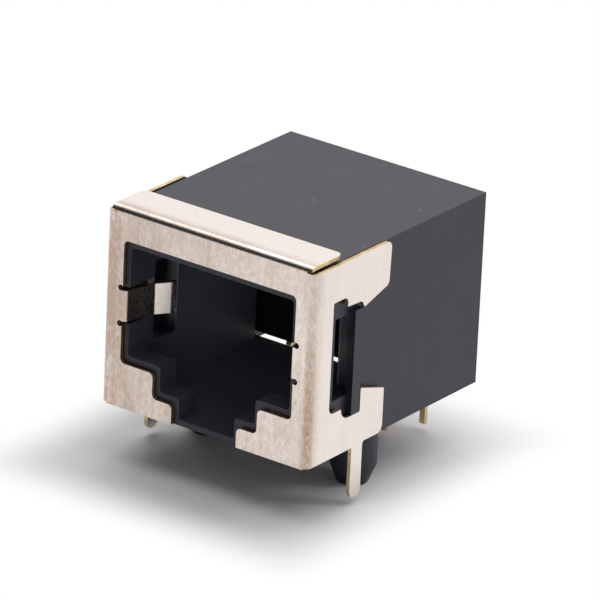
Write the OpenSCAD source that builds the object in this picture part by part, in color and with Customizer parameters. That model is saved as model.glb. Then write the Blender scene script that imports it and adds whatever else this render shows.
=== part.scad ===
// Shielded eight-way modular jack for a printed circuit board, plug side facing forward.
// X runs across the jack, -Y is the front, Z = 0 is the top of the board.
// The origin lies on the board midway between the two locating pegs.

/* [Overall] */
// Width over the shield's side flanges
jack_w = 16.1; // [15.5:0.05:22]
// Height of the shield's top above the board
jack_h = 13.4; // [13.2:0.1:18]
// Depth from the shield's face to the back of the housing
jack_d = 18.4; // [17.4:0.1:26]

/* [Plug port] */
// Width of the port
port_w = 12.54; // [10:0.02:12.6]
// Height of the port's ceiling
port_top = 10.8; // [9.8:0.05:10.9]
// Thickness of the port's floor
port_floor = 0.4; // [0.3:0.05:0.6]
// Height of the upper shoulders, which carry the plug's body
body_shoulder_z = 3.5; // [3:0.05:4]
// Width between the upper shoulders
body_shoulder_gap = 7.38; // [5:0.02:8]
// Height of the lower shoulders, which the plug's latch catches
latch_shoulder_z = 1.8; // [1.2:0.01:2.4]
// Width between the lower shoulders
latch_shoulder_gap = 4.3; // [3:0.05:4.6]
// Thickness of the front wall that forms the shoulders
front_wall = 1.6; // [1:0.1:2.4]
// Width of the housing's front that shows beside the port, inside the shield's opening
ledge_w = 0.38; // [0.2:0.01:0.6]
// Height of the housing's front that shows above the port and its shoulders
ledge_h = 0.47; // [0.2:0.01:0.6]

/* [Shield] */
// Thickness of the sheet
sheet_t = 0.25; // [0.15:0.01:0.3]
// Outer radius of the bends round the face
bend_r = 0.4; // [0.35:0.01:0.7]
// Corner radius of the opening in the face
opening_r = 0.35; // [0.1:0.05:0.4]
// Depth of the top flange from the face
top_flange_d = 3.25; // [2:0.05:6]
// Depth of the side flanges from the face
side_flange_d = 7.75; // [6.8:0.05:9]
// Front edge of the slot in each side flange
slot_y = 2; // [1.2:0.05:2.4]
// Height of the middle of the two spring fingers
finger_z = 6.85; // [6:0.05:7.6]
// Width of each spring finger
finger_w = 2.06; // [1.2:0.02:2.6]
// How far each finger reaches into the port from the opening's edge
finger_reach = 1.53; // [1:0.01:2]
// Depth at which each finger reaches furthest in
finger_d = 3.25; // [2.6:0.05:3.6]
// Distance of the shield's solder pins behind the face
shield_pin_y = 5.15; // [4:0.05:6]
// Width of a shield pin
shield_pin_w = 1.13; // [0.8:0.01:1.5]
// Length of a shield pin below the board's top
shield_pin_l = 3.4; // [2:0.1:5]

/* [Housing] */
// Gap between the housing's sides and the shield
side_gap = 0.15; // [0.05:0.01:0.3]
// Gap between the housing's top and the shield
top_gap = 0.2; // [0.05:0.01:0.3]
// Gap between the housing's front and the back of the shield's face
face_gap = 0.05; // [0:0.01:0.1]
// Front edge of the window through each side wall
window_y = 2.8; // [2.5:0.01:3.3]
// Front face of the rib that the shield hooks behind
rib_y = 4.35; // [4:0.01:4.6]
// Thickness of the rib
rib_t = 0.85; // [0.6:0.01:1.1]
// Depth of the rib across the jack, from its outer face to the hollow behind it
rib_depth = 0.55; // [0.45:0.01:0.8]
// Height of the rib's lower end
rib_bottom = 2.38; // [2:0.01:3]
// Height of the rib's upper end
rib_top = 9.38; // [8.8:0.01:9.7]
// Thickness of the side walls beside the contact carrier
rear_wall = 0.72; // [0.5:0.02:0.9]
// Thickness of the roof over the contacts
roof_t = 0.5; // [0.3:0.05:0.6]

/* [Pegs] */
// Spacing of the two pegs
peg_spacing = 11.43; // [10:0.01:12]
// Distance of the pegs behind the shield's face
peg_y = 8.15; // [7:0.05:10]
// Diameter of a peg
peg_d = 3; // [2:0.05:3.6]
// Length of a peg below the board's top
peg_l = 3.9; // [2:0.1:5]
// Length of the cone at a peg's tip
peg_cone_l = 1.25; // [0.5:0.05:1.8]
// Diameter of the cone's end
peg_tip_d = 2; // [1:0.05:2]

/* [Contacts] */
// Width of a contact
contact_w = 0.4; // [0.3:0.01:0.5]
// Thickness of a contact
contact_t = 0.3; // [0.2:0.01:0.35]
// Spacing of the contacts in the port
plug_pitch = 1.02; // [1:0.01:1.1]
// Spacing of the contacts' tails across the board
tail_pitch = 1.27; // [1.1:0.01:1.3]
// Distance between the two rows of tails
row_gap = 2.54; // [2:0.01:2.6]
// Length of the tails below the board's top
tail_l = 3.5; // [2:0.1:5]
// Distance of the rear row of tails from the housing's back
tail_set_in = 0.95; // [0.8:0.05:1.4]
// Depth of the fold at the contacts' front
nose_y = 3.55; // [3.4:0.05:4.5]
// Depth of the contacts' free ends
free_end_y = 10.6; // [9.5:0.1:11]
// Height of the contacts' free ends
free_end_z = 8.45; // [8.3:0.05:9]

/* [Contact carrier] */
// Gap between the carrier and the housing
carrier_gap = 0.05; // [0.02:0.01:0.1]
// Gap between a contact and its groove's sides
groove_gap = 0.03; // [0.01:0.01:0.05]
// Thickness of the carrier in front of the front row of tails
carrier_wall = 0.4; // [0.1:0.05:0.6]
// How far the carrier's rear face is set in from the housing's back
carrier_set_in = 0.3; // [0:0.05:0.5]
// Height of the carrier's underside above the board
carrier_bottom = 0.65; // [0.6:0.01:0.9]
// Width of the carrier's tongue and comb
tongue_w = 9.5; // [9.4:0.05:9.8]

/* [Hidden] */
$fn = 64;
contacts = 8;
arc_step = 15;
past = 1;

flange_x = jack_w / 2;
housing_x = flange_x - sheet_t - side_gap;
housing_top = jack_h - sheet_t - top_gap;
housing_front = sheet_t + face_gap;
port_x = port_w / 2;
opening_x = port_x + ledge_w;

// Sheet metal
face_top = jack_h - bend_r;
side_top = jack_h - sheet_t - 0.15;
side_bottom = 0.1;
top_flange_x = flange_x - 0.35;
corner_slit_x = flange_x - 0.7;
corner_slit_h = 0.12;
hook_gap = 0.07;
hook_y = rib_y + rib_t + hook_gap;
lobe_slope = tan(17);
notch_r = 0.2;
notch_spread = 0.17;
notch_x = opening_x + 0.15;
finger_slack = 0.2;

// Rear of the port
tail_y = jack_d - tail_set_in;
front_tail_y = tail_y - row_gap;
carrier_front = front_tail_y - contact_t / 2 - carrier_wall;
carrier_rear = jack_d - carrier_set_in;
floor_rear = carrier_front - 0.05;
chamber_front = carrier_front - 0.75;
chamber_x = housing_x - rear_wall;
chamber_top = housing_top - roof_t;

// Contacts and the carrier under them
run_z = chamber_top - contact_t / 2 - 0.15;
run_under = run_z - contact_t / 2;
under_z = carrier_bottom - contact_t / 2;
jog_front = carrier_front - 3.2;
jog_rear = carrier_front - 0.3;
fold_z = port_top + 0.05;
fold_r = 0.45;
tail_bend_r = 0.3;
tip_r = 0.1;
carrier_top = run_z + contact_t / 2 + 0.05;
tongue_front = nose_y + contact_t / 2 + 0.05;
tongue_bottom = port_top + 0.3;
comb_front = free_end_y - 1;
comb_rear = free_end_y + 1;
comb_bottom = free_end_z + 0.15;
comb_slot_w = contact_w + 0.17;
pocket_front = nose_y - contact_t / 2 - 0.25;

function unit(v) = v / norm(v);
function xy(p) = [p[0], p[1]];
function reversed(list) = [for (i = [len(list) - 1 : -1 : 0]) list[i]];

// Points of the arc that rounds corner p, which holds [x, y, radius], between a and b
function corner_arc(a, p, b) =
    p[2] == 0 ? [xy(p)] :
    let (
        u = unit(xy(a) - xy(p)),
        v = unit(xy(b) - xy(p)),
        half = acos(u * v) / 2,
        centre = xy(p) + unit(u + v) * p[2] / sin(half),
        first = xy(p) + u * p[2] / tan(half) - centre,
        turn = (180 - 2 * half) * (cross(u, v) > 0 ? -1 : 1),
        steps = max(1, ceil(abs(turn) / arc_step)),
        from = atan2(first[1], first[0])
    )
    [for (k = [0 : steps]) centre + p[2] * [cos(from + turn * k / steps), sin(from + turn * k / steps)]];

// A closed outline with each [x, y, radius] corner rounded
function rounded(corners) =
    let (n = len(corners))
    [for (i = [0 : n - 1]) each corner_arc(corners[(i + n - 1) % n], corners[i], corners[(i + 1) % n])];

// The corners of a path moved d to its left, with the radii that keep the bends concentric
function beside(path, d) =
    let (n = len(path))
    [for (i = [0 : n - 1])
        let (
            a = unit(xy(path[max(i, 1)]) - xy(path[max(i, 1) - 1])),
            b = unit(xy(path[min(i, n - 2) + 1]) - xy(path[min(i, n - 2)])),
            left = [-a[1] - b[1], a[0] + b[0]],
            turn = sign(cross(a, b)),
            p = xy(path[i]) + left * 2 * d / (left * left),
            r = path[i][2] == 0 ? 0 : path[i][2] - turn * d
        )
        [p[0], p[1], r]];

// Outline of a bent strip that lies between d0 and d1 to the left of its path
function strip(path, d0, d1) = rounded(concat(beside(path, d0), reversed(beside(path, d1))));

// The port's stepped outline, grown by a width and a height, with its lower edge at the height bottom
function port_outline(grow_w, grow_h, bottom, r) =
    let (
        x1 = port_x + grow_w,
        x2 = body_shoulder_gap / 2 + grow_w,
        x3 = latch_shoulder_gap / 2 + grow_w,
        z1 = body_shoulder_z - grow_h,
        z2 = latch_shoulder_z - grow_h,
        right = [[x3, bottom, 0], [x3, z2, r], [x2, z2, r], [x2, z1, r], [x1, z1, r],
                 [x1, port_top + grow_h, r]]
    )
    rounded(concat(right, [for (p = reversed(right)) [-p[0], p[1], p[2]]]));

// Stands an outline drawn in X and Z upright, from the depth y backwards
module facing_front(y, depth) {
    translate([0, y + depth, 0]) rotate([90, 0, 0]) linear_extrude(depth) children();
}

// Stands an outline drawn in Y and Z upright, from x to the right
module facing_side(x, width) {
    translate([x, 0, 0]) rotate([90, 0, 90]) linear_extrude(width) children();
}

// A box given by its low and high corners
module box(low, high) {
    translate(low) cube(high - low);
}

// Quarter of a ring that joins two sheets at a right angle, with its outer corner at the origin
module bend_section(r) {
    translate([r, r]) intersection() {
        difference() {
            circle(r);
            circle(r - sheet_t);
        }
        translate([-r, -r]) square(r);
    }
}

module both_sides() {
    children();
    mirror([1, 0, 0]) children();
}

// ---- Shield: one folded sheet ----

module shield_face() {
    facing_front(0, sheet_t) difference() {
        translate([-flange_x + bend_r, 0]) square([jack_w - 2 * bend_r, face_top]);
        polygon(port_outline(ledge_w, ledge_h, -past, opening_r));
        for (side = [-1, 1], end = [-1, 1]) {
            translate([side * notch_x, finger_z + end * (finger_w / 2 + notch_spread)]) circle(notch_r);
        }
    }
}

module shield_top() {
    r = 0.5;
    difference() {
        facing_side(-top_flange_x, 2 * top_flange_x)
            translate([0, jack_h]) mirror([0, 1]) bend_section(bend_r);
        for (side = [-1, 1]) {
            translate([side * (corner_slit_x + past / 2), 0, face_top + corner_slit_h / 2])
                cube([past, 2 * past, corner_slit_h], center = true);
        }
    }
    translate([0, 0, jack_h - sheet_t]) linear_extrude(sheet_t)
        polygon(rounded([[-top_flange_x, bend_r, 0], [top_flange_x, bend_r, 0],
                         [top_flange_x, top_flange_d, r], [-top_flange_x, top_flange_d, r]]));
}

// Side flange with the slot round the rib, the hook behind it and the solder pin below
function side_flange_outline() =
    let (
        front = bend_r,
        pin_front = shield_pin_y - shield_pin_w / 2,
        pin_rear = shield_pin_y + shield_pin_w / 2,
        hook_top = rib_bottom + 1.55,
        lobe_under = rib_top + 0.76,
        slot_rear = rib_y - 0.85
    )
    rounded([
        [front, side_bottom, 0], [pin_front, side_bottom, 0.1], [pin_front, -shield_pin_l, 0.5],
        [pin_rear, -shield_pin_l, 0.5], [pin_rear, side_bottom + 0.1, 0.2],
        [side_flange_d, side_bottom + 0.1, 0.5],
        [side_flange_d, hook_top - (side_flange_d - hook_y) * lobe_slope, 0.15],
        [hook_y, hook_top, 0.1], [hook_y, rib_bottom - 0.03, 0.1],
        [slot_rear - 0.25, rib_bottom - 0.03, 0.8],
        [slot_rear - 0.25, rib_bottom + 0.74, 0], [slot_y, rib_bottom + 0.74, 0.45],
        [slot_y, rib_top + 1.2, 0.1], [slot_rear, rib_top + 1.2, 0.4], [slot_rear, rib_top + 0.54, 0],
        [hook_y - 0.3, rib_top + 0.46, 0.35], [hook_y, lobe_under - 2.5 * lobe_slope, 0],
        [side_flange_d, lobe_under, 0.35], [side_flange_d + 0.12, side_top, 0.45], [front, side_top, 0]
    ]);

module shield_side() {
    translate([0, 0, side_bottom]) linear_extrude(face_top - side_bottom)
        translate([flange_x, 0]) mirror([1, 0]) bend_section(bend_r);
    facing_side(flange_x - sheet_t, sheet_t) polygon(side_flange_outline());
}

// Spring finger: bent back through the opening and inwards, with its tip turned outwards
module finger() {
    path = [[opening_x, 0, 0], [opening_x - 0.24, 0, 0.3], [opening_x - 0.8, 0.69 * finger_d, 0.3],
            [opening_x - finger_reach, finger_d, 0.45],
            [opening_x - finger_reach + 0.08, finger_d + 0.4, 0]];
    translate([0, 0, finger_z - finger_w / 2]) linear_extrude(finger_w) polygon(strip(path, 0, -sheet_t));
}

module shield() {
    color("#d9cec4") union() {
        shield_face();
        shield_top();
        both_sides() {
            shield_side();
            finger();
        }
    }
}

// ---- Housing: one moulding ----

module housing_block() {
    box([-housing_x, housing_front, 0], [housing_x, jack_d, housing_top]);
    both_sides() box([housing_x - past, rib_y, rib_bottom], [flange_x, rib_y + rib_t, rib_top]);
}

// The port: the stepped mouth, the room behind its shoulders and the space above for the contacts
module port_space() {
    facing_front(-past, front_wall + housing_front + 2 * past)
        polygon(port_outline(0, 0, port_floor, opening_r - 0.1));
    box([-port_x, housing_front + front_wall, port_floor], [port_x, carrier_rear, port_top]);
    box([-tongue_w / 2 - carrier_gap, pocket_front, port_top - past],
        [tongue_w / 2 + carrier_gap, jack_d + past, chamber_top]);
}

// The chamber behind the port, open at the back and below
module rear_space() {
    box([-chamber_x, chamber_front, port_floor], [chamber_x, jack_d + past, chamber_top]);
    box([-chamber_x, floor_rear, -past], [chamber_x, jack_d + past, chamber_top]);
}

// Openings in a side wall: the window in front of the rib, the hollow behind the rib and the recess
// that the finger springs into
module side_openings() {
    finger_half = finger_w / 2 + finger_slack;
    window_bottom = rib_bottom + 1.3;
    window_top = rib_top - 0.25;
    box([port_x - past, window_y, window_bottom], [flange_x + past, rib_y, window_top]);
    box([port_x - past, window_y, window_bottom], [flange_x - rib_depth, rib_y + rib_t, window_top]);
    box([port_x - past, -past, finger_z - finger_half],
        [opening_x + 0.2, window_y + past / 2, finger_z + finger_half]);
}

module peg() {
    straight = peg_l - peg_cone_l;
    translate([peg_spacing / 2, peg_y, -straight]) cylinder(d = peg_d, h = straight + port_floor / 2);
    translate([peg_spacing / 2, peg_y, -peg_l]) cylinder(d1 = peg_tip_d, d2 = peg_d, h = peg_cone_l);
}

module housing() {
    color("#55525c") union() {
        difference() {
            housing_block();
            port_space();
            rear_space();
            both_sides() side_openings();
        }
        both_sides() peg();
    }
}

// ---- Contacts: eight bent strips, numbered from the left ----

function plug_x(i) = (i - (contacts + 1) / 2) * plug_pitch;
function tail_x(i) = (i - (contacts + 1) / 2) * tail_pitch;
function in_front_row(i) = i % 2 == 1;

// From the jog forward over the tongue, round its nose and back down into the port
function spring_path() = [
    [jog_front, run_z, 0], [nose_y, run_z, fold_r], [nose_y - 0.15, fold_z, fold_r],
    [free_end_y, free_end_z, 0]
];

// From the jog back to the carrier's rear, down it and into the board
function tail_path(i) = concat(
    [[jog_rear, run_z, 0], [tail_y, run_z, tail_bend_r]],
    in_front_row(i) ? [[tail_y, under_z, tail_bend_r], [front_tail_y, under_z, tail_bend_r]] : [],
    [[in_front_row(i) ? front_tail_y : tail_y, -tail_l, tip_r]]
);

// Sideways step between the two spacings
function jog_outline(i, half) = [
    [plug_x(i) - half, jog_front], [plug_x(i) + half, jog_front],
    [tail_x(i) + half, jog_rear], [tail_x(i) - half, jog_rear]
];

module contact_shape(i, w) {
    facing_side(plug_x(i) - w / 2, w) polygon(strip(spring_path(), contact_t / 2, -contact_t / 2));
    translate([0, 0, run_under]) linear_extrude(contact_t) polygon(jog_outline(i, w / 2));
    facing_side(tail_x(i) - w / 2, w) polygon(strip(tail_path(i), contact_t / 2, -contact_t / 2));
}

module contact(i) {
    color("#b99a55") union() contact_shape(i, contact_w);
}

// ---- Contact carrier: block, tongue and comb in one moulding ----

// The groove that contact i lies in, open above and at the back
module groove(i) {
    half = contact_w / 2 + groove_gap;
    contact_shape(i, 2 * half);
    box([plug_x(i) - half, tongue_front - past, run_under],
        [plug_x(i) + half, jog_front, carrier_top + past]);
    translate([0, 0, run_under]) linear_extrude(contact_t + past) polygon(jog_outline(i, half));
    box([tail_x(i) - half, jog_rear, run_under],
        [tail_x(i) + half, carrier_rear + past, carrier_top + past]);
    box([tail_x(i) - half, tail_y - contact_t / 2, -past],
        [tail_x(i) + half, carrier_rear + past, carrier_top + past]);
}

module contact_carrier() {
    block_x = chamber_x - carrier_gap;
    color("#3c3a42") difference() {
        union() {
            box([-block_x, carrier_front, carrier_bottom], [block_x, carrier_rear, carrier_top]);
            box([-tongue_w / 2, tongue_front, tongue_bottom], [tongue_w / 2, carrier_front, carrier_top]);
            box([-tongue_w / 2, comb_front, comb_bottom], [tongue_w / 2, carrier_front, carrier_top]);
        }
        for (i = [1 : contacts]) {
            groove(i);
            box([plug_x(i) - comb_slot_w / 2, comb_front - past, comb_bottom - past],
                [plug_x(i) + comb_slot_w / 2, comb_rear, tongue_bottom]);
        }
    }
}

// Moves a piece so that the origin lies between the pegs
module placed() {
    translate([0, -peg_y, 0]) children();
}

placed() housing();
placed() contact_carrier();
for (i = [1 : contacts]) placed() contact(i);
placed() shield();
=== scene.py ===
import math

import bmesh
import bpy
from mathutils import Matrix, Vector
from mathutils.bvhtree import BVHTree


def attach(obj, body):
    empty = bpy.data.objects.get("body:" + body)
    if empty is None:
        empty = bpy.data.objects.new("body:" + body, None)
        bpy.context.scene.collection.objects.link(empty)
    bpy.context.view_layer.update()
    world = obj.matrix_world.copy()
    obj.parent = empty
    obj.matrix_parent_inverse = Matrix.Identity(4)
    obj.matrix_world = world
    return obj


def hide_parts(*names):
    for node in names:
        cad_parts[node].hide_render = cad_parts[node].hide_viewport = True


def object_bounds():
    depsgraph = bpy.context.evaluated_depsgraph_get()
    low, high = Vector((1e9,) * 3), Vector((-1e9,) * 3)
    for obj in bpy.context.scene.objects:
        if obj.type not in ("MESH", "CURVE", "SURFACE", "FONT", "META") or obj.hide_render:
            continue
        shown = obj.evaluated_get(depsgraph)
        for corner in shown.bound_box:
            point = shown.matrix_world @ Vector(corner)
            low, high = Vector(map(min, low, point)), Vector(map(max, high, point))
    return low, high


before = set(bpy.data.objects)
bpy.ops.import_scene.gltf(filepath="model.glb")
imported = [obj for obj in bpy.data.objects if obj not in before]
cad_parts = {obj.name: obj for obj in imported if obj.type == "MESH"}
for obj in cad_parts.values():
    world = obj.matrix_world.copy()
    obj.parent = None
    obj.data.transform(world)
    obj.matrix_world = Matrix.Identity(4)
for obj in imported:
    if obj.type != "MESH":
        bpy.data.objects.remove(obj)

cadLow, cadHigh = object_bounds()
mm = 0.001
print("frame loaded:", len(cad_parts), "nodes")


# node helpers: an input is a plain value or another node's socket
def addNode(tree, kind, inputs=None, **settings):
    node = tree.nodes.new(kind)
    for name, value in settings.items():
        setattr(node, name, value)
    for key, value in (inputs or {}).items():
        if isinstance(value, bpy.types.NodeSocket):
            tree.links.new(value, node.inputs[key])
        else:
            node.inputs[key].default_value = value
    return node


def mathNode(tree, operation, *values, clamp=False):
    inputs = dict(enumerate(values))
    return addNode(tree, "ShaderNodeMath", inputs, operation=operation, use_clamp=clamp).outputs[0]


def times(tree, first, second):
    return mathNode(tree, "MULTIPLY", first, second)


def timesPlus(tree, value, factor, offset, clamp=False):
    return mathNode(tree, "MULTIPLY_ADD", value, factor, offset, clamp=clamp)


def oneMinus(tree, value):
    return mathNode(tree, "SUBTRACT", 1.0, value)


def mixColor(tree, factor, low, high):
    node = addNode(tree, "ShaderNodeMix", data_type="RGBA")
    for key, value in (("Factor", factor), ("A", low), ("B", high)):
        if isinstance(value, bpy.types.NodeSocket):
            tree.links.new(value, node.inputs[key])
        elif hasattr(value, "__len__"):
            node.inputs[key].default_value = (*value[:3], 1)
        else:
            node.inputs[key].default_value = value
    return node.outputs["Result"]


def ramp(tree, value, low, high):
    inputs = {"Value": value, "From Min": low, "From Max": high}
    return addNode(tree, "ShaderNodeMapRange", inputs, interpolation_type="SMOOTHSTEP").outputs["Result"]


def noise(tree, vector, scale, detail, roughness):
    inputs = {"Vector": vector, "Scale": scale, "Detail": detail, "Roughness": roughness}
    return addNode(tree, "ShaderNodeTexNoise", inputs).outputs[0]


def stretched(tree, vector, stretch):
    return addNode(tree, "ShaderNodeMapping", {"Vector": vector, "Scale": stretch}).outputs["Vector"]


def stretchedNoise(tree, vector, stretch, scale, detail, roughness):
    return noise(tree, stretched(tree, vector, stretch), scale, detail, roughness)


def centred(tree, value, weight):
    # a noise value that swings about zero by the given weight
    return times(tree, mathNode(tree, "SUBTRACT", value, 0.5), weight)


def newGroup(name, inputs, outputs):
    group = bpy.data.node_groups.new(name, "ShaderNodeTree")
    for label, kind, value in inputs:
        socket = group.interface.new_socket(name=label, in_out="INPUT", socket_type=kind)
        socket.default_value = value
    for label, kind in outputs:
        group.interface.new_socket(name=label, in_out="OUTPUT", socket_type=kind)
    return group, group.nodes.new("NodeGroupInput").outputs, group.nodes.new("NodeGroupOutput").inputs


def placeGroup(tree, group, inputs):
    return addNode(tree, "ShaderNodeGroup", inputs, node_tree=group).outputs


def newMaterial(name):
    material = bpy.data.materials.new(name)
    material.use_nodes = True
    tree = material.node_tree
    shader = tree.nodes["Principled BSDF"]
    place = tree.nodes.new("ShaderNodeTexCoord").outputs["Object"]
    return material, tree, shader, place


def addBump(tree, shader, finish, height):
    inputs = {"Strength": finish["bump"], "Distance": finish["bumpHeight"], "Height": height}
    normal = addNode(tree, "ShaderNodeBump", inputs).outputs["Normal"]
    tree.links.new(normal, shader.inputs["Normal"])


grainForm = {
    "fine": (4.0, 0.6), "broad": (2.0, 0.55),  # detail and roughness of each noise
    "broadScale": 0.22, "broadShare": 0.6,
}


def makeGrainGroup():
    # fine grain of a moulded or rolled surface: a height and a matching light and dark value
    group, source, target = newGroup(
        "grain",
        [("Vector", "NodeSocketVector", (0, 0, 0)), ("Scale", "NodeSocketFloat", 1000.0),
         ("Stretch", "NodeSocketVector", (1, 1, 1))],
        [("Height", "NodeSocketFloat"), ("Tone", "NodeSocketFloat")])
    pulled = stretched(group, source["Vector"], source["Stretch"])
    fine = noise(group, pulled, source["Scale"], *grainForm["fine"])
    broadScale = times(group, source["Scale"], grainForm["broadScale"])
    broad = noise(group, pulled, broadScale, *grainForm["broad"])
    group.links.new(fine, target["Height"])
    share = grainForm["broadShare"]
    group.links.new(timesPlus(group, broad, share, times(group, fine, 1 - share)), target["Tone"])
    return group


speckForm = {
    "smallest": 0.1, "sizeSpread": 0.22,  # radius in cells
    "softEdge": (0.5, 1.0),
}


def makeSpeckGroup():
    # scattered specks that take up a chosen share of the cells
    group, source, target = newGroup(
        "specks",
        [("Vector", "NodeSocketVector", (0, 0, 0)), ("Scale", "NodeSocketFloat", 2000.0),
         ("Amount", "NodeSocketFloat", 0.1)],
        [("Mask", "NodeSocketFloat")])
    inputs = {"Vector": source["Vector"], "Scale": source["Scale"]}
    cells = addNode(group, "ShaderNodeTexVoronoi", inputs).outputs
    pick = addNode(group, "ShaderNodeSeparateColor", {"Color": cells["Color"]}).outputs
    chosen = mathNode(group, "LESS_THAN", pick["Red"], source["Amount"])
    size = timesPlus(group, pick["Green"], speckForm["sizeSpread"], speckForm["smallest"])
    reach = mathNode(group, "DIVIDE", cells["Distance"], size)
    near = oneMinus(group, ramp(group, reach, *speckForm["softEdge"]))
    group.links.new(times(group, chosen, near), target["Mask"])
    return group


grainGroup = makeGrainGroup()
speckGroup = makeSpeckGroup()


plating = {
    "color": (0.86, 0.782, 0.733),
    "tarnishAndShadeColor": (0.50, 0.385, 0.315),
    "wearAndShadeColor": (0.43, 0.31, 0.215),
    "speckColor": (0.22, 0.16, 0.12),
    "frontDarkShare": 0.70,
    "flangeDarkShare": 0.05,
    "leftTarnish": 0.16,  # added on the left band of the front plate
    "rightPaintedReflection": 0.34,  # painted reflection: less of the darker colour towards the right of the front plate, which is painted lighter there
    "paintedReflectionRun": (-9 * mm, 9 * mm),
    "spread": 0.30, "frontSpread": 0.8, "leftSpread": 0.9,  # how strongly the patches vary it
    "roughness": 0.27, "patchRoughness": 0.10,
    "bump": 0.10, "bumpHeight": 0.01 * mm,
    "frontDepth": (-7.75 * mm, -6.9 * mm),
    "leftBand": (-7.9 * mm, -6.5 * mm),
    "bendBand": (7.3 * mm, 7.8 * mm),
    "bendDepth": (-8.05 * mm, -7.5 * mm),
    "bendFade": (3 * mm, 16 * mm),
    "platePlane": (-7.92 * mm, -7.8 * mm),
    # stretch, scale, detail and roughness of each noise, then how much it adds to the patches
    "mottle": ((1, 1, 0.5), 5600.0, 4.0, 0.7), "mottleWeight": 1.1,
    "cloud": ((1, 1, 0.5), 420.0, 4.0, 0.62), "cloudWeight": 1.0,
    "drawn": ((1, 1, 0.06), 2600.0, 3.0, 0.6), "drawnWeight": 0.5,
    "speckStretch": (1, 1, 0.5), "speckScale": 4200.0, "speckStrength": 0.6,
    "speckShare": 0.015, "speckLeft": 0.10, "speckBend": 0.35,
    "wearAndShadeRange": (0.35, 0.65), "wearAndShadeSpread": 0.45, "wearAndShadeLevel": 0.55,
}


def makePlating():
    material, tree, shader, place = newMaterial("platedSheet")
    x, y, z = addNode(tree, "ShaderNodeSeparateXYZ", {0: place}).outputs[:3]

    # where the front plate, its left band and the right bend are
    front = oneMinus(tree, ramp(tree, y, *plating["frontDepth"]))
    plane = oneMinus(tree, ramp(tree, y, *plating["platePlane"]))
    left = times(tree, plane, oneMinus(tree, ramp(tree, x, *plating["leftBand"])))
    bend = times(tree, ramp(tree, x, *plating["bendBand"]),
                 oneMinus(tree, ramp(tree, y, *plating["bendDepth"])))
    bend = times(tree, bend, oneMinus(tree, ramp(tree, z, *plating["bendFade"])))

    mottle, cloud, drawn = (stretchedNoise(tree, place, *plating[name])
                            for name in ("mottle", "cloud", "drawn"))
    patches = mathNode(tree, "ADD", centred(tree, mottle, plating["mottleWeight"]),
                       centred(tree, cloud, plating["cloudWeight"]))
    patches = mathNode(tree, "ADD", patches, centred(tree, drawn, plating["drawnWeight"]))
    share = timesPlus(tree, bend, plating["speckBend"], plating["speckShare"])
    specks = placeGroup(tree, speckGroup, {
        "Vector": stretched(tree, place, plating["speckStretch"]), "Scale": plating["speckScale"],
        "Amount": timesPlus(tree, left, plating["speckLeft"], share)})

    # the front plate gets far more of the darker, browner colour than the flanges
    amount = timesPlus(tree, front, plating["frontDarkShare"] - plating["flangeDarkShare"],
                       plating["flangeDarkShare"])
    # painted reflection: the front plate is painted lighter towards the right
    paintedReflection = times(tree, front, ramp(tree, x, *plating["paintedReflectionRun"]))
    amount = timesPlus(tree, paintedReflection, -plating["rightPaintedReflection"], amount)
    spread = timesPlus(tree, front, plating["frontSpread"], plating["spread"])
    spread = timesPlus(tree, left, plating["leftSpread"], spread)
    amount = mathNode(tree, "ADD", amount, times(tree, patches, spread))
    amount = timesPlus(tree, left, plating["leftTarnish"], amount, clamp=True)

    color = mixColor(tree, amount, plating["color"], plating["tarnishAndShadeColor"])
    # wear and painted shade: the right bend gets a brown colour, strongest towards the bottom
    wearAndShade = timesPlus(tree, ramp(tree, mottle, *plating["wearAndShadeRange"]), plating["wearAndShadeSpread"],
                     plating["wearAndShadeLevel"])
    color = mixColor(tree, times(tree, bend, wearAndShade), color, plating["wearAndShadeColor"])
    color = mixColor(tree, times(tree, specks["Mask"], plating["speckStrength"]), color,
                     plating["speckColor"])
    tree.links.new(color, shader.inputs["Base Color"])
    shader.inputs["Metallic"].default_value = 1.0
    tree.links.new(timesPlus(tree, patches, plating["patchRoughness"], plating["roughness"]),
                   shader.inputs["Roughness"])
    addBump(tree, shader, plating, mottle)
    return material


# the sheet's cut edges show its own brass
cutBrass = {
    "darkColor": (0.50, 0.37, 0.18), "paleColor": (0.80, 0.64, 0.38), "toneRange": (0.4, 0.62),
    "grainScale": 2500.0, "grainStretch": (1, 1, 1),
    "roughness": 0.42, "grainRoughness": None,
    "bump": 0.3, "bumpHeight": 0.02 * mm,
}

springBronze = {
    "darkColor": (0.52, 0.42, 0.24), "paleColor": (0.72, 0.60, 0.38), "toneRange": (0.4, 0.65),
    "grainScale": 2200.0, "grainStretch": (1, 0.3, 0.3),
    "roughness": 0.22, "grainRoughness": 0.15,
    "bump": 0.2, "bumpHeight": 0.01 * mm,
}


def makeGrainedMetal(name, finish):
    material, tree, shader, place = newMaterial(name)
    grain = placeGroup(tree, grainGroup, {"Vector": place, "Scale": finish["grainScale"],
                                          "Stretch": finish["grainStretch"]})
    color = mixColor(tree, ramp(tree, grain["Tone"], *finish["toneRange"]), finish["darkColor"],
                     finish["paleColor"])
    tree.links.new(color, shader.inputs["Base Color"])
    shader.inputs["Metallic"].default_value = 1.0
    if finish["grainRoughness"]:
        tree.links.new(timesPlus(tree, grain["Tone"], finish["grainRoughness"], finish["roughness"]),
                       shader.inputs["Roughness"])
    else:
        shader.inputs["Roughness"].default_value = finish["roughness"]
    addBump(tree, shader, finish, grain["Height"])
    return material


housingPlastic = {"color": (0.016, 0.013, 0.026), "streak": 0.35, "roughness": 0.42}
insertPlastic = {"color": (0.022, 0.021, 0.027), "streak": 0.3, "roughness": 0.5}

# painted light: the inside of the port is painted paler and bluer than the rest of the moulding, paler
# still towards the back, within a box in the part's own frame
paintedPortLight = {
    "halfWidth": 6.4 * mm, "bottom": 0.3 * mm, "top": 10.95 * mm,
    "depth": (-7.8 * mm, 3.0 * mm), "back": 8.0 * mm,
    "frontPaintedLight": (0.045, 0.051, 0.066), "deepPaintedLight": (0.19, 0.215, 0.27),
}

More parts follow.
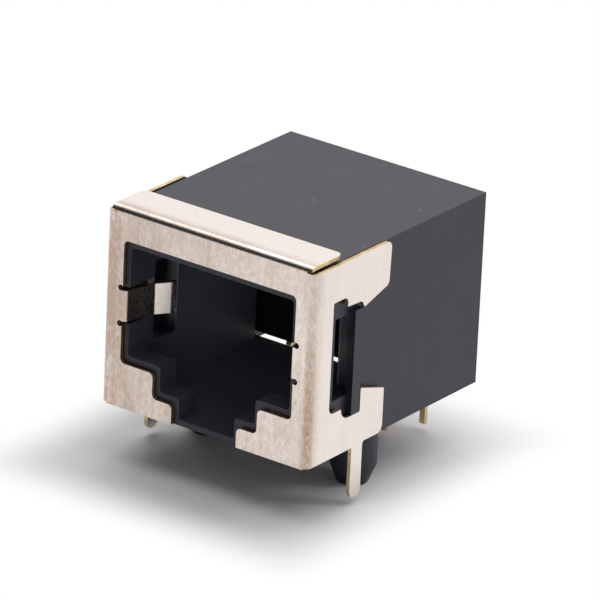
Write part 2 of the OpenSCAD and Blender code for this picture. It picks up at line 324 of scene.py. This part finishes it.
moulding = {
    "grainScale": 1800.0, "grainRoughness": 0.16,
    "streaks": ((1, 1, 0.25), 1700.0, 4.0, 0.6), "streakRange": (0.4, 0.7), "streakGain": 1.7,
    "speckScale": 2200.0, "speckShare": 0.008, "speckStrength": 0.35, "speckColor": (0.3, 0.28, 0.27),
    "specular": 0.42,
    "bump": 0.25, "bumpHeight": 0.012 * mm,
}


def portLightMask(tree, place, box):
    x, y, z = addNode(tree, "ShaderNodeSeparateXYZ", {0: place}).outputs[:3]
    within = mathNode(tree, "LESS_THAN", mathNode(tree, "ABSOLUTE", x), box["halfWidth"])
    for axis, side, limit in ((z, "LESS_THAN", box["top"]), (z, "GREATER_THAN", box["bottom"]),
                              (y, "LESS_THAN", box["back"]), (y, "GREATER_THAN", box["depth"][0])):
        within = times(tree, within, mathNode(tree, side, axis, limit))
    return within, ramp(tree, y, *box["depth"])


def makePlastic(name, finish, paintedLight=None):
    material, tree, shader, place = newMaterial(name)
    grain = placeGroup(tree, grainGroup, {"Vector": place, "Scale": moulding["grainScale"]})
    streaks = ramp(tree, stretchedNoise(tree, place, *moulding["streaks"]), *moulding["streakRange"])
    specks = placeGroup(tree, speckGroup, {"Vector": place, "Scale": moulding["speckScale"],
                                           "Amount": moulding["speckShare"]})
    paler = [part * moulding["streakGain"] for part in finish["color"]]
    tone = mixColor(tree, times(tree, streaks, finish["streak"]), finish["color"], paler)
    tone = mixColor(tree, times(tree, specks["Mask"], moulding["speckStrength"]), tone,
                    moulding["speckColor"])
    # painted light: inside the port box the moulding's colour is replaced by a paler, bluer one
    if paintedLight:
        within, deep = portLightMask(tree, place, paintedLight)
        tone = mixColor(tree, within, tone,
                        mixColor(tree, deep, paintedLight["frontPaintedLight"], paintedLight["deepPaintedLight"]))
    tree.links.new(tone, shader.inputs["Base Color"])
    shader.inputs["Specular IOR Level"].default_value = moulding["specular"]
    smoothest = finish["roughness"] - 0.5 * moulding["grainRoughness"]
    tree.links.new(timesPlus(tree, grain["Tone"], moulding["grainRoughness"], smoothest),
                   shader.inputs["Roughness"])
    addBump(tree, shader, moulding, grain["Height"])
    return material


platedSheet = makePlating()
shearedEdge = makeGrainedMetal("shearedEdge", cutBrass)
blackPlastic = makePlastic("blackPlastic", housingPlastic, paintedPortLight)
carrierPlastic = makePlastic("carrierPlastic", insertPlastic)
contactMetal = makeGrainedMetal("contactMetal", springBronze)
print("materials made")


# angles in degrees
edgeForm = {
    "mergeWithin": 0.0005 * mm, "flatWithin": 0.5,
    "sharpAbove": 25.0, "segments": 2, "smoothWithin": 38.0,
}


def edgeCopy(node, name, materials, width):
    # a merged copy of a CAD piece with its sharp edges slightly rounded
    form = bmesh.new()
    form.from_mesh(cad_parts[node].data)
    bmesh.ops.remove_doubles(form, verts=form.verts, dist=edgeForm["mergeWithin"])
    bmesh.ops.dissolve_limit(form, angle_limit=math.radians(edgeForm["flatWithin"]),
                             verts=form.verts, edges=form.edges)
    sharp = math.radians(edgeForm["sharpAbove"])
    edges = [e for e in form.edges if len(e.link_faces) == 2 and e.calc_face_angle(0) > sharp]
    bmesh.ops.bevel(form, geom=edges, offset=width, offset_type="OFFSET",
                    segments=edgeForm["segments"], profile=0.5, affect="EDGES",
                    clamp_overlap=True, material=-1)
    mesh = bpy.data.meshes.new(name)
    form.to_mesh(mesh)
    form.free()
    piece = bpy.data.objects.new(name, mesh)
    bpy.context.scene.collection.objects.link(piece)
    for material in materials:
        mesh.materials.append(material)
    weighNormals(mesh, edgeForm["smoothWithin"])
    return piece


def weighNormals(mesh, limit):
    # smooth shading in which a large flat face keeps its own direction
    mesh.shade_smooth()
    around = [[] for _ in mesh.vertices]
    for face in mesh.polygons:
        for corner in face.vertices:
            around[corner].append(face.index)
    facing = [Vector(face.normal) for face in mesh.polygons]
    area = [face.area for face in mesh.polygons]
    near = math.cos(math.radians(limit))
    normals = [Vector((0, 0, 1))] * len(mesh.loops)
    for face in mesh.polygons:
        own = facing[face.index]
        for loop in face.loop_indices:
            total = Vector()
            for other in around[mesh.loops[loop].vertex_index]:
                if facing[other].dot(own) > near:
                    total += facing[other] * area[other]
            normals[loop] = total.normalized() if total.length > 0 else own
    mesh.normals_split_custom_set(normals)


shieldForm = {
    "sheet": 0.25 * mm, "edgeRound": 0.03 * mm,
    "rayStart": 0.002 * mm, "rayReach": 1 * mm, "sheetMargin": 1.3,
}


def markShearedFaces(mesh, form):
    # a face with one sheet's thickness behind it is plated, and any other one was cut
    mesh.calc_loop_triangles()
    corners = [v.co.copy() for v in mesh.vertices]
    tree = BVHTree.FromPolygons(corners, [list(t.vertices) for t in mesh.loop_triangles])
    largest = {}
    for triangle in mesh.loop_triangles:
        best = largest.get(triangle.polygon_index)
        if best is None or triangle.area > best.area:
            largest[triangle.polygon_index] = triangle
    for index, triangle in largest.items():
        inward = -Vector(triangle.normal)
        middle = sum((corners[v] for v in triangle.vertices), Vector()) / 3
        hit = tree.ray_cast(middle + inward * form["rayStart"], inward, form["rayReach"])
        plated = hit[0] is not None and hit[3] < form["sheet"] * form["sheetMargin"]
        mesh.polygons[index].material_index = 0 if plated else 1


def makeShield():
    piece = edgeCopy("shield", "shieldSheet", [platedSheet, shearedEdge], shieldForm["edgeRound"])
    markShearedFaces(piece.data, shieldForm)
    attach(piece, "root")
    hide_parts("shield")


housingForm = {"edgeRound": 0.05 * mm}


def makeHousing():
    piece = edgeCopy("housing", "housingMoulding", [blackPlastic], housingForm["edgeRound"])
    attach(piece, "root")
    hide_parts("housing")


def dressNode(node, material):
    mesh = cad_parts[node].data
    if not mesh.materials:
        mesh.materials.append(material)
    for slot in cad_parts[node].material_slots:
        slot.material = material


makeShield()
makeHousing()
dressNode("contact_carrier", carrierPlastic)
for number in range(1, 9):
    dressNode("contact_%d" % number, contactMetal)
print("pieces made")


studio = {
    "floorColor": (0.93, 0.915, 0.92),
    "floorRoughness": 0.9,
    "floorHalf": 1.2,
    # the floor turns plain white outside a box about the footprint
    "clearEdge": (8.4 * mm, 14.0 * mm), "clearCorner": 4.0 * mm,
    "clearShape": (1.0, 0.88, 0.0), "clearShift": (1.0 * mm, 0.0, 0.0),
    "worldStrength": 0.93,  # as mirrored in the metal
    "softStrength": 0.38,  # as it lights the rest
    "softDark": 0.10,
    "darkColor": (0.80, 0.90, 1.06),
    "darkAzimuth": -45.0,
    "darkEdge": (0.26, 0.50),
    "darkLevel": 0.05,
    "lampAim": (0, 0, 4 * mm),
    "topPlace": (-0.01, 0.07, 0.29), "topSize": (0.46, 0.46), "topPower": 0.76,
    "keyPlace": (0.24, 0.16, 0.20), "keySize": (0.08, 0.08), "keyPower": 0.12,
}


def makeFloor():
    form = bmesh.new()
    bmesh.ops.create_grid(form, x_segments=1, y_segments=1, size=studio["floorHalf"],
                          matrix=Matrix.Translation((0, 0, cadLow.z)))
    mesh = bpy.data.meshes.new("floor")
    form.to_mesh(mesh)
    form.free()
    floor = bpy.data.objects.new("floor", mesh)
    bpy.context.scene.collection.objects.link(floor)
    material, tree, shader, place = newMaterial("paleFloor")
    shader.inputs["Base Color"].default_value = (*studio["floorColor"], 1)
    shader.inputs["Roughness"].default_value = studio["floorRoughness"]
    light = addNode(tree, "ShaderNodeLightPath").outputs
    white = addNode(tree, "ShaderNodeEmission", {"Color": (1, 1, 1, 1), "Strength": 1.0})
    box = {0: place, 1: studio["clearShape"], 2: studio["clearShift"]}
    away = addNode(tree, "ShaderNodeVectorMath", box, operation="MULTIPLY_ADD").outputs[0]
    away = addNode(tree, "ShaderNodeVectorMath", {0: away}, operation="ABSOLUTE").outputs[0]
    sides = addNode(tree, "ShaderNodeSeparateXYZ", {0: away}).outputs
    away = mathNode(tree, "SMOOTH_MAX", sides["X"], sides["Y"], studio["clearCorner"])
    seen = mathNode(tree, "MAXIMUM", light["Is Camera Ray"], light["Is Glossy Ray"])
    factor = times(tree, ramp(tree, away, *studio["clearEdge"]), seen)
    mix = addNode(tree, "ShaderNodeMixShader", {0: factor, 1: shader.outputs[0], 2: white.outputs[0]})
    tree.links.new(mix.outputs[0], tree.nodes["Material Output"].inputs["Surface"])
    mesh.materials.append(material)


def makeWorld():
    # a white studio with one dark corner at the front left; the camera itself sees plain white
    world = bpy.data.worlds.new("studio")
    bpy.context.scene.world = world
    world.use_nodes = True
    tree = world.node_tree
    base = tree.nodes["Background"]
    direction = addNode(tree, "ShaderNodeTexCoord").outputs["Generated"]
    turn = math.radians(studio["darkAzimuth"])
    ahead = (math.sin(turn), -math.cos(turn), 0)
    toward = addNode(tree, "ShaderNodeVectorMath", {0: direction, 1: ahead}, operation="DOT_PRODUCT")
    dark = ramp(tree, toward.outputs["Value"], *studio["darkEdge"])
    mirrored = timesPlus(tree, dark, studio["darkLevel"] - studio["worldStrength"],
                         studio["worldStrength"])
    soft = timesPlus(tree, dark, studio["softDark"] - studio["softStrength"], studio["softStrength"])
    light = addNode(tree, "ShaderNodeLightPath").outputs
    shade = timesPlus(tree, light["Is Glossy Ray"], mathNode(tree, "SUBTRACT", mirrored, soft), soft)
    strength = mathNode(tree, "MAXIMUM", light["Is Camera Ray"], shade)
    tint = times(tree, dark, oneMinus(tree, light["Is Camera Ray"]))
    tree.links.new(mixColor(tree, tint, (1, 1, 1), studio["darkColor"]), base.inputs["Color"])
    tree.links.new(strength, base.inputs["Strength"])


def makeLamp(name, place, size, power):
    lamp = bpy.data.lights.new(name, "AREA")
    lamp.shape = "RECTANGLE"
    lamp.size, lamp.size_y = size
    lamp.energy = power
    holder = bpy.data.objects.new(name, lamp)
    bpy.context.scene.collection.objects.link(holder)
    holder.location = place
    holder.rotation_mode = "QUATERNION"
    holder.rotation_quaternion = (Vector(studio["lampAim"]) - Vector(place)).to_track_quat("-Z", "Y")


view = {
    "azimuth": 35.715, "elevation": 22.698, "roll": 2.67,
    "target": (2.601 * mm, -2.15 * mm, 8.034 * mm),
    "distance": 438.1 * mm, "lens": 424.54, "sensor": 36,
}


def makeCamera():
    azimuth, elevation, roll = (math.radians(view[key]) for key in ("azimuth", "elevation", "roll"))
    level = math.cos(elevation)
    ahead = Vector((-math.sin(azimuth) * level, math.cos(azimuth) * level, -math.sin(elevation)))
    right = Vector((math.cos(azimuth), math.sin(azimuth), 0))
    up = right.cross(ahead)
    rolledRight = math.cos(roll) * right + math.sin(roll) * up
    rolledUp = math.cos(roll) * up - math.sin(roll) * right
    camera = bpy.data.objects.new("camera", bpy.data.cameras.new("camera"))
    bpy.context.scene.collection.objects.link(camera)
    camera.data.lens = view["lens"]
    camera.data.sensor_width = view["sensor"]
    turn = Matrix((rolledRight, rolledUp, -ahead)).transposed()
    place = Vector(view["target"]) - ahead * view["distance"]
    camera.matrix_world = Matrix.Translation(place) @ turn.to_4x4()
    bpy.context.scene.camera = camera


makeFloor()
makeWorld()
for lamp in ("top", "key"):
    makeLamp(lamp + "Lamp", studio[lamp + "Place"], studio[lamp + "Size"], studio[lamp + "Power"])
makeCamera()
bpy.context.scene.view_settings.view_transform = "Standard"
print("studio made")
